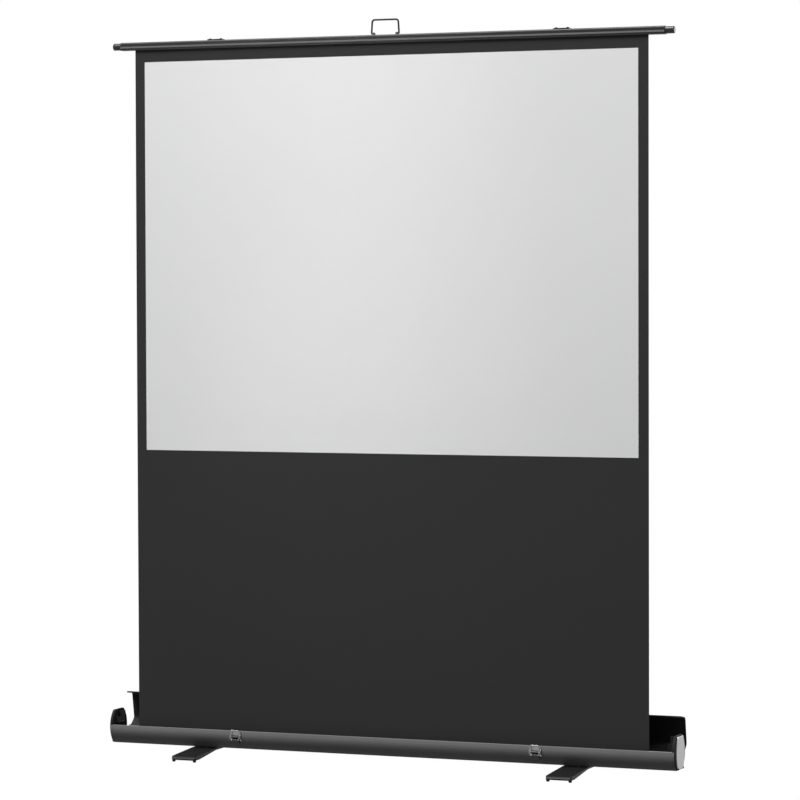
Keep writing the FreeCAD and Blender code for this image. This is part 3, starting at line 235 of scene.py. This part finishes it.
def anodised(name, tone, shine, metal, mirror, lined=None, lining=0.0):
    """Satin metal. Where the mask that lined gives is 1, the wall has its black lining."""
    finish = Finish(name)
    lines = finish.noise(scale=6, detail=4, stretch=DRAWN_ALONG_X)
    clouds = finish.noise(scale=5, detail=2)
    rubbed = finish.noise(scale=38, detail=6) > RUBBED_ABOVE
    skin = finish.mix(clouds * 0.6 + lines * 0.4, grey(tone * 0.85), grey(tone * 1.15))
    gloss = shine + lines * 0.12 + rubbed * 0.06 - clouds * 0.05
    if lined:
        mask = lined(finish)
        skin = finish.mix(mask, skin, grey(lining))
        gloss = gloss + mask * LINING_DULLNESS
    finish.set(Base_Color=skin, Roughness=gloss, Metallic=metal, Specular_IOR_Level=mirror)
    finish.bump(lines, strength=0.12, distance=0.0002)
    FINISHES[name] = finish.material


SATIN = {"tone": 0.21, "shine": 0.42, "metal": 0.0, "mirror": 0.06}
anodised("case_satin", **SATIN)
anodised("bar_metal", tone=0.013, shine=0.36, metal=0.0, mirror=0.24)
# The ledge's metal is lighter than the bar's: a painted highlight for the bright line along the bar.
anodised("painted_highlight_metal", tone=0.085, shine=0.36, metal=0.0, mirror=0.25)
anodised("silver_cover", tone=0.50, shine=0.34, metal=0.60, mirror=0.5)
print("anodised:", list(FINISHES))

# %% [markdown]
# Two solids have two skins each. An end cap is black but for the band round it that carries on the case, and
# the lid is black inside. A mask tells the skins apart: by place on the cap, by facing on the lid.

# %% Lined skins
CAP_LINING, LID_LINING = 0.018, 0.03
CAP_SEAM, CAP_BAND = 0.0004, 0.0062
FACES_AHEAD, FACES_UP = -0.25, 0.3
SHELL_END, _, SHELL_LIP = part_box("base_shell")[1]
LID_MIDDLE = sum(corner[2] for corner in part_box("lid_shell")) / 2


def inside_cap(finish):
    """All of an end cap but the band round it that carries on the case below its lip."""
    beyond = abs(finish.axis("X")) - SHELL_END
    return 1 - beyond.between(CAP_SEAM, CAP_BAND) * (finish.axis("Z") < SHELL_LIP)


def inside_lid(finish):
    """The hollow side of the open lid: its wall faces the viewer, its web faces up, its flange down."""
    ahead, up = finish.axis("Y", finish.facing), finish.axis("Z", finish.facing)
    high = finish.axis("Z") > LID_MIDDLE
    hollow = (ahead < FACES_AHEAD) + high * (up < -FACES_UP) + (1 - high) * (up > FACES_UP)
    return hollow > 0.5


anodised("cap_satin", **SATIN, lined=inside_cap, lining=CAP_LINING)
anodised("lid_satin", **SATIN, lined=inside_lid, lining=LID_LINING)
print("with linings:", list(FINISHES))

# %% [markdown]
# ## Paint, plastic and rubber
# Powder coat has a fine orange peel, moulded plastic an etched grain and rubber a dull bloom. One helper
# makes all of them from the grain size, its depth, the gloss and the bloom, because they differ only in
# those.

# %% Painted and moulded finishes
SCUFFED_ALONG_Z = (1, 1, 3)
SCUFFED_ABOVE = 0.73


def grained(name, tone, gloss, grain, depth, bloom=0.0, mirror=0.14):
    """Paint, plastic or rubber with a grain and a few scuffs."""
    finish = Finish(name)
    fine = finish.noise(scale=grain, detail=2)
    broad = finish.noise(scale=9, detail=3)
    scuffs = finish.noise(scale=60, detail=8, stretch=SCUFFED_ALONG_Z) > SCUFFED_ABOVE
    finish.set(
        Base_Color=finish.mix(broad * 0.7 + scuffs * (0.3 + bloom), grey(tone * 0.8), grey(tone * 1.35)),
        Roughness=gloss + fine * 0.1 + scuffs * 0.08,
        Specular_IOR_Level=mirror,
    )
    finish.bump(fine, strength=0.25, distance=depth)
    FINISHES[name] = finish.material


grained("black_plastic", tone=0.011, gloss=0.28, grain=1500, depth=0.0001, mirror=0.3)
grained("arm_metal", tone=0.022, gloss=0.34, grain=900, depth=0.0001)
grained("dark_steel", tone=0.02, gloss=0.34, grain=1100, depth=0.0001)
grained("foot_metal", tone=0.006, gloss=0.42, grain=800, depth=0.00015)
grained("pad_rubber", tone=0.016, gloss=0.68, grain=1300, depth=0.0002, bloom=0.2)
grained("grip_plastic", tone=0.024, gloss=0.55, grain=1000, depth=0.0003, bloom=0.1)
print("finishes so far:", len(FINISHES))

# %% [markdown]
# ## Bright and plain steel
# Plated latches mirror the room, with only a faint haze. Pins, bolts and the roller tube are plain turned or
# drawn steel with fine lines.

# %% Steel finishes
DRAWN_ALONG_Y = (1, 0.25, 1)


def steel(name, tone, shine, grain):
    """Bare or plated metal with fine lines and a haze."""
    finish = Finish(name)
    lines = finish.noise(scale=grain, detail=4, stretch=DRAWN_ALONG_Y)
    haze = finish.noise(scale=22, detail=3)
    finish.set(
        Base_Color=finish.mix(haze, grey(tone * 0.9, warmth=0.004), grey(tone * 1.06)),
        Roughness=shine + lines * 0.1 + haze * 0.05,
        Metallic=1.0,
    )
    finish.bump(lines, strength=0.08, distance=0.0001)
    FINISHES[name] = finish.material


steel("bright_steel", tone=0.24, shine=0.26, grain=400)
steel("plain_steel", tone=0.42, shine=0.26, grain=900)
print("finishes so far:", len(FINISHES))

# %% [markdown]
# ## Dressing the solids
# Each solid already knows its slot in the record, so the finishes go on by name. The cloth slots have no
# finish yet, because their solids are replaced further on.

# %% Dress the solids
LINED = {"left_end_cap": "cap_satin", "right_end_cap": "cap_satin", "lid_shell": "lid_satin"}


def dress(node, finish):
    """One finish over a whole solid."""
    node.data.materials.clear()
    node.data.materials.append(finish)


for part in frame["record"]["subparts"]:
    finish = FINISHES.get(LINED.get(part["node"], part["material_slot"]))
    if finish:
        dress(NODES[part["node"]], finish)
print("dressed", sum(bool(n.data.materials) for n in NODES.values()), "solids")

# %% [markdown]
# ## The projection cloth
# The cloth is one piece: a black backing that is coated matte white inside its borders. It hangs from a rod
# in the bar and is pulled tight by the roller. A grid with a real thickness is enough, with the slightest
# long ripple that a tensioned cloth keeps.

# %% Cloth mesh
CLOTH_LOW, CLOTH_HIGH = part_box("screen_sheet")
COAT_LOW, COAT_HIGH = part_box("picture_surface")
CLOTH_WIDTH = CLOTH_HIGH[0] - CLOTH_LOW[0]
CLOTH_LENGTH = CLOTH_HIGH[2] - CLOTH_LOW[2]
CLOTH_FRONT = CLOTH_LOW[1]
CLOTH_THICK = CLOTH_HIGH[1] - CLOTH_LOW[1]
COLUMNS, ROWS = 48, 60
RIPPLE, RIPPLES_ACROSS, RIPPLE_LEAN = 0.0006, 7, 1.3


def new_piece(name, mesh, finish):
    """Turn a bmesh into an object with a finish."""
    data = bpy.data.meshes.new(name)
    mesh.to_mesh(data)
    mesh.free()
    piece = bpy.data.objects.new(name, data)
    bpy.context.collection.objects.link(piece)
    data.materials.append(finish)
    return piece


def cloth_mesh():
    """A tight cloth: a grid stood upright, rippled a little and given its thickness."""
    mesh = bmesh.new()
    bmesh.ops.create_grid(mesh, x_segments=COLUMNS, y_segments=ROWS, size=0.5)
    upright = Matrix.Rotation(math.pi / 2, 4, "X")
    size = Matrix.Diagonal((CLOTH_WIDTH, 1, CLOTH_LENGTH, 1))
    centre = Matrix.Translation((0, CLOTH_FRONT, CLOTH_LOW[2] + CLOTH_LENGTH / 2))
    bmesh.ops.transform(mesh, matrix=centre @ size @ upright, verts=mesh.verts)
    layer = mesh.loops.layers.uv.verify()
    for face in mesh.faces:
        for corner in face.loops:
            spot = corner.vert.co
            corner[layer].uv = (spot.x, spot.z)
    for vert in mesh.verts:
        span = (vert.co.z - CLOTH_LOW[2]) / CLOTH_LENGTH
        calm = math.sin(math.pi * span)
        vert.co.y -= RIPPLE * calm * (1 + math.sin(vert.co.x * RIPPLES_ACROSS + RIPPLE_LEAN * span))
    bmesh.ops.solidify(mesh, geom=mesh.faces[:], thickness=CLOTH_THICK)
    bmesh.ops.recalc_face_normals(mesh, faces=mesh.faces[:])
    return mesh


print("cloth grid", COLUMNS, "x", ROWS, "cells")

# %% [markdown]
# The coat is a fine matte layer with the weave just showing, and the border is a slightly sheeny black. The
# white area is a mask on the cloth's own UV map, so it stays put while the cloth is wound away. Only faces
# that look to the front carry it.

# %% Cloth finish
THREAD_PITCH = 0.0009
LOOKS_FRONT = -0.5


def cloth_finish():
    """Black cloth with the white coat inside its borders."""
    finish = Finish("screen_cloth")
    across, up = finish.axis("X", finish.uv), finish.axis("Y", finish.uv)
    coated = across.between(COAT_LOW[0], COAT_HIGH[0]) * up.between(COAT_LOW[2], COAT_HIGH[2])
    front = finish.axis("Y", finish.facing) < LOOKS_FRONT
    thread = 2 * math.pi / THREAD_PITCH
    weave = (across * thread).sine() * (up * thread).sine()
    cloud = finish.noise(scale=1.6, detail=3)
    white = finish.mix(cloud, grey(0.745, warmth=-0.004), grey(0.79))
    black = finish.mix(cloud, grey(0.016), grey(0.0205))
    finish.set(
        Base_Color=finish.mix(coated * front, black, white),
        Roughness=0.82 + weave * 0.05,
        Specular_IOR_Level=0.25,
    )
    finish.bump(weave, strength=0.06, distance=0.0001)
    return finish.material


cloth = new_piece("screen_cloth", cloth_mesh(), cloth_finish())
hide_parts("screen_sheet", "picture_surface")
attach(cloth, "bar")
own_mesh(cloth)
print("cloth", round(CLOTH_WIDTH, 3), "x", round(CLOTH_LENGTH, 3), "m")

# %% [markdown]
# ## The turns left on the roller
# A few turns of cloth stay wound on the tube. From the end they show as thin rings, so a short line across
# the turns is spun about the roller's axis, and the ring is drawn out along the roller. The rod that locks
# the cloth in the bar is wrapped in the same cloth.

# %% Roll of cloth
ROLL_LOW, ROLL_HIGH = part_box("wound_sheet")
ROLL_RADIUS = (ROLL_HIGH[2] - ROLL_LOW[2]) / 2
ROLL_AXIS = Vector((0, (ROLL_LOW[1] + ROLL_HIGH[1]) / 2, (ROLL_LOW[2] + ROLL_HIGH[2]) / 2))
TUBE_LOW, TUBE_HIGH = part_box("roller_tube")
TUBE_RADIUS = (TUBE_HIGH[2] - TUBE_LOW[2]) / 2
ROLL_STEPS = 72
TURNS = 3


def new_verts(made):
    """The corners among the geometry that an operator made."""
    return [item for item in made["geom"] if isinstance(item, bmesh.types.BMVert)]


def draw_out(mesh, faces, length):
    """Draw flat faces out along X to a closed solid."""
    moved = new_verts(bmesh.ops.extrude_face_region(mesh, geom=faces))
    bmesh.ops.translate(mesh, verts=moved, vec=(length, 0, 0))
    bmesh.ops.recalc_face_normals(mesh, faces=mesh.faces[:])


def roll_mesh():
    """A short line between tube and outer turn, spun to a ring and drawn out along the roller."""
    mesh = bmesh.new()
    rim = [TUBE_RADIUS + (ROLL_RADIUS - TUBE_RADIUS) * t / TURNS for t in range(TURNS + 1)]
    line = [mesh.verts.new((ROLL_LOW[0], ROLL_AXIS.y - r, ROLL_AXIS.z)) for r in rim]
    edges = [mesh.edges.new(pair) for pair in zip(line, line[1:])]
    bmesh.ops.spin(
        mesh,
        geom=line + edges,
        cent=ROLL_AXIS,
        axis=(1, 0, 0),
        angle=2 * math.pi,
        steps=ROLL_STEPS,
        use_merge=True,
    )
    draw_out(mesh, mesh.faces[:], CLOTH_WIDTH)
    return mesh


def roll_finish():
    """The cloth's black back."""
    finish = Finish("rolled_cloth")
    weave = finish.noise(scale=900, detail=2, stretch=(1, 1, 0.3))
    finish.set(
        Base_Color=finish.mix(weave, grey(0.022), grey(0.036)),
        Roughness=0.8 + weave * 0.06,
        Specular_IOR_Level=0.25,
    )
    finish.bump(weave, strength=0.1, distance=0.0001)
    return finish.material


CLOTH_BACK = roll_finish()
roll = new_piece("rolled_cloth", roll_mesh(), CLOTH_BACK)
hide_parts("wound_sheet")
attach(roll, "roller")
dress(NODES["keder_rod"], CLOTH_BACK)
print("roll of", TURNS, "turns, radius", round(ROLL_RADIUS, 4), "m")

# %% [markdown]
# ## Cross-recess screws
# The end covers and the saddles are held by small pan-head screws. The solids only have plain discs there,
# so each head is made from a grid: its outline is pushed out to a circle, its top is domed, the cells of a
# cross are sunk, the rim is drawn down to the seat and the foot is closed.

# %% Screw heads
CELLS = 7
CROSS_ARM = 2.5
RECESS_DEEP = 0.45
DOME_FALL = 0.45
SEAT_SINK = 0.0002
FIRST_TURN, TURN_STEP = 17, 31


def add_screw_head(mesh, radius, height, root, stand):
    """One domed head with a sunk cross and a root below its seat, placed by the matrix stand."""
    top = bmesh.ops.create_grid(mesh, x_segments=CELLS, y_segments=CELLS, size=1)["verts"]
    faces = list({face for vert in top for face in vert.link_faces})
    cell = 2 / CELLS
    cross = []
    for face in faces:
        middle = face.calc_center_median()
        near, far = sorted((abs(middle.x), abs(middle.y)))
        if near < cell / 2 and far < CROSS_ARM * cell:
            cross.append(face)
    rim = [edge for edge in {e for face in faces for e in face.edges} if edge.is_boundary]
    for vert in top:
        x, y = vert.co.x, vert.co.y
        round_x, round_y = x * math.sqrt(1 - y * y / 2), y * math.sqrt(1 - x * x / 2)
        dome = 1 - DOME_FALL * (round_x**2 + round_y**2)
        vert.co = (round_x * radius, round_y * radius, height * dome)
    cross_edges = list({edge for face in cross for edge in face.edges})
    floor = new_verts(bmesh.ops.extrude_face_region(mesh, geom=cross + cross_edges))
    bmesh.ops.translate(mesh, verts=floor, vec=(0, 0, -height * RECESS_DEEP))
    drawn = bmesh.ops.extrude_edge_only(mesh, edges=rim)
    skirt = new_verts(drawn)
    for vert in skirt:
        vert.co.z = -root
    foot = [item for item in drawn["geom"] if isinstance(item, bmesh.types.BMEdge) and item.is_boundary]
    bmesh.ops.edgeloop_fill(mesh, edges=foot)
    bmesh.ops.transform(mesh, matrix=stand, verts=list(dict.fromkeys(top + floor + skirt)))


def screw_stand(spot, axis, turn):
    """Seat of a screw: its place, the way it points and how far its cross is turned."""
    aim = Vector(axis).to_track_quat("Z", "Y").to_matrix().to_4x4()
    return Matrix.Translation(spot) @ aim @ Matrix.Rotation(math.radians(turn), 4, "Z")


def make_screws(name, node, body, radius, height, seats, root=SEAT_SINK):
    """Heads on all seats as one piece, in place of the plain discs of a node if there are any."""
    mesh = bmesh.new()
    for number, (spot, axis) in enumerate(seats):
        stand = screw_stand(spot, axis, FIRST_TURN + TURN_STEP * number)
        add_screw_head(mesh, radius, height, root, stand)
    bmesh.ops.recalc_face_normals(mesh, faces=mesh.faces[:])
    screws = new_piece(name, mesh, FINISHES["dark_steel"])
    if node:
        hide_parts(node)
    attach(screws, body)
    print(name, len(seats))


print("screw heads of", CELLS * CELLS, "cells")

# %% [markdown]
# The cover screws stand at the covers' edge, so their roots go down to the cap behind. The saddle screws sit
# on top of the saddles, two on each.

# %% Screws in place of discs
COVER_SEAT, COVER_FACE = (corner[0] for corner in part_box("right_end_cover"))
END_LOW, END_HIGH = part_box("end_screws")
END_RADIUS = 0.0034
END_HEIGHT = END_HIGH[0] - COVER_FACE
END_SEATS = [
    ((side * COVER_FACE, y, (END_LOW[2] + END_HIGH[2]) / 2), (side, 0, 0))
    for side in (-1, 1)
    for y in (END_LOW[1] + END_RADIUS, END_HIGH[1] - END_RADIUS)
]
COVER_THICK = COVER_FACE - COVER_SEAT
make_screws("cover_screws", "end_screws", "case", END_RADIUS, END_HEIGHT, END_SEATS, root=COVER_THICK)

SADDLE_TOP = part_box("right_saddle")[1][2]
SADDLE_LOW, SADDLE_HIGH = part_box("saddle_screws")
SADDLE_RADIUS = 0.004
SADDLE_HEIGHT = SADDLE_HIGH[2] - SADDLE_TOP
SADDLE_PITCH = 0.036
SADDLE_Y = (SADDLE_LOW[1] + SADDLE_HIGH[1]) / 2
SADDLE_SEATS = [
    ((side * (SADDLE_HIGH[0] - SADDLE_RADIUS - inward), SADDLE_Y, SADDLE_TOP), (0, 0, 1))
    for side in (-1, 1)
    for inward in (0, SADDLE_PITCH)
]
make_screws("bar_screws", "saddle_screws", "bar", SADDLE_RADIUS, SADDLE_HEIGHT, SADDLE_SEATS)

# %% [markdown]
# The carry handle's plates and the hinge leaves have no discs. A line cast from behind finds the seat of each
# of their screws and the way it faces.

# %% Screws at the back
def seats_behind(node, spots):
    """Place and direction of each spot, given by x and z, on the rear of a solid."""
    found = [NODES[node].ray_cast((x, 1, z), (0, -1, 0)) for x, z in spots]
    return [(place, facing) for hit, place, facing, _ in found if hit]


PLATE_LOW, PLATE_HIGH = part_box("carry_brackets")
PLATE_INSET, PLATE_MARGIN = 0.009, 0.0042
PLATE_RADIUS, PLATE_HEIGHT = 0.0026, 0.0012
PLATE_SPOTS = [
    (side * (PLATE_HIGH[0] - PLATE_INSET), z)
    for side in (-1, 1)
    for z in (PLATE_LOW[2] + PLATE_MARGIN, PLATE_HIGH[2] - PLATE_MARGIN)
]
PLATE_SEATS = seats_behind("carry_brackets", PLATE_SPOTS)
make_screws("carry_screws", None, "lid", PLATE_RADIUS, PLATE_HEIGHT, PLATE_SEATS)

LEAF_LOW, LEAF_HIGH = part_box("base_hinge_leaves")
LEAF_HALF, LEAF_SPREAD, LEAF_MARGIN = 0.030, 0.022, 0.006
LEAF_RADIUS, LEAF_HEIGHT = 0.003, 0.0011
LEAF_X = LEAF_HIGH[0] - LEAF_HALF
LEAF_SPOTS = [
    (middle + side * LEAF_SPREAD, LEAF_LOW[2] + LEAF_MARGIN)
    for middle in (-LEAF_X, 0, LEAF_X)
    for side in (-1, 1)
]
LEAF_SEATS = seats_behind("base_hinge_leaves", LEAF_SPOTS)
make_screws("hinge_screws", None, "case", LEAF_RADIUS, LEAF_HEIGHT, LEAF_SEATS)

# %% [markdown]
# ## The ledge along the bar
# Over the groove in its front the bar has a sloping ledge that shows as one bright line. The low lamp lights
# its slope, and its tone is lighter than the bar's: a painted highlight. Its outline is drawn out along the
# bar.

# %% Bar ledge
LEDGE = ((0.0, 0.0116), (0.0011, 0.0070), (0.0011, 0.0062), (0.0, 0.0062))
BAR_LOW, BAR_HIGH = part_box("top_bar")
BAR_LENGTH = BAR_HIGH[0] - BAR_LOW[0]


def ledge_mesh():
    """The ledge's outline, as stand and height on the bar's front, drawn out from end to end."""
    mesh = bmesh.new()
    outline = [mesh.verts.new((BAR_LOW[0], BAR_LOW[1] - stand, BAR_LOW[2] + up)) for stand, up in LEDGE]
    draw_out(mesh, [mesh.faces.new(outline)], BAR_LENGTH)
    return mesh


ledge = new_piece("bar_ledge", ledge_mesh(), FINISHES["painted_highlight_metal"])
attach(ledge, "bar")
print("ledge", round(BAR_LENGTH, 3), "m long")

# %% [markdown]
# ## Stage and light
# A plain pale floor stands in a white surround. Both are white only to rays from the lens and to mirror
# rays, so they do not flood the object with light, and the floor keeps a trace of shadow.

# %% Floor and surround
FLOOR_SIZE = 60
FLOOR_GLOW, FLOOR_SEEN = 1.06, 0.94
SURROUND_LIGHT = 0.04


def seen_by_lens(graph):
    """1 for rays from the lens, mirrors and glass."""
    kinds = ("Is Camera Ray", "Is Glossy Ray", "Is Transmission Ray")
    lens_ray, mirror_ray, glass_ray = (graph.node("ShaderNodeLightPath", {}, {}, kind) for kind in kinds)
    return lens_ray.larger(mirror_ray).larger(glass_ray)


def floor_finish():
    """A floor that glows white to the lens and is dark to all other light."""
    finish = Finish("pale_floor")
    tone = finish.noise(scale=2, detail=2)
    finish.set(Base_Color=finish.mix(tone, grey(0.055), grey(0.06)), Roughness=0.9, Specular_IOR_Level=0.1)
    lit = Wire(finish, finish.shader.outputs["BSDF"])
    glow = finish.node("ShaderNodeEmission", {}, {"Strength": FLOOR_GLOW})
    share = seen_by_lens(finish) * FLOOR_SEEN
    blend = finish.node("ShaderNodeMixShader", {}, {0: share, 1: lit, 2: glow})
    finish.feed(finish.tree.nodes["Material Output"], {"Surface": blend})
    return finish.material


floor_mesh = bmesh.new()
bmesh.ops.create_grid(floor_mesh, x_segments=1, y_segments=1, size=FLOOR_SIZE / 2)
floor = new_piece("floor", floor_mesh, floor_finish())

world = bpy.data.worlds.new("surround")
bpy.context.scene.world = world
surround = Graph(world)
strength = seen_by_lens(surround) * (1 - SURROUND_LIGHT) + SURROUND_LIGHT
surround.feed(surround.tree.nodes["Background"], {"Color": grey(1.0), "Strength": strength})
print("floor", FLOOR_SIZE, "m wide, surround light", SURROUND_LIGHT)

# %% [markdown]
# Five soft lamps light the screen. A broad key lamp high at the left front shades the round case, a side lamp
# shows the end cover, a small low lamp lifts the front of the bar, and a lamp behind keeps the back readable.
# A narrow strip lamp gives the cloth the soft glow left of its middle. Each row has the lamp's place, size,
# power, aim and the angle of its beam.

# %% Lamps
LAMPS = [
    ("key_lamp", (-3.5, -5.0, 13.8), (6.0, 6.0), 3700, (0, 0, 1.2), 180),
    ("side_lamp", (6.0, -1.0, 5.0), (2.5, 2.5), 150, (0.9, 0, 0.5), 180),
    ("low_lamp", (-1.8, -3.2, 1.6), (0.6, 0.5), 6, (-0.3, 0, 3.0), 180),
    ("back_lamp", (0.6, 4.4, 3.6), (3.0, 3.0), 190, (0, 0, 1.2), 180),
    ("strip_lamp", (-2.6, -4.6, 1.6), (0.25, 2.0), 0.65, (-0.1, 0, 1.6), 15),
]
for name, spot, span, power, aim, beam in LAMPS:
    lamp = bpy.data.lights.new(name, "AREA")
    lamp.shape, lamp.energy = "RECTANGLE", power
    lamp.size, lamp.size_y = span
    lamp.spread = math.radians(beam)
    holder = bpy.data.objects.new(name, lamp)
    holder.location = spot
    holder.rotation_euler = (Vector(aim) - Vector(spot)).to_track_quat("-Z", "Y").to_euler()
    bpy.context.collection.objects.link(holder)
bpy.context.scene.view_settings.view_transform = "Standard"
print("lamps:", [name for name, *_ in LAMPS])
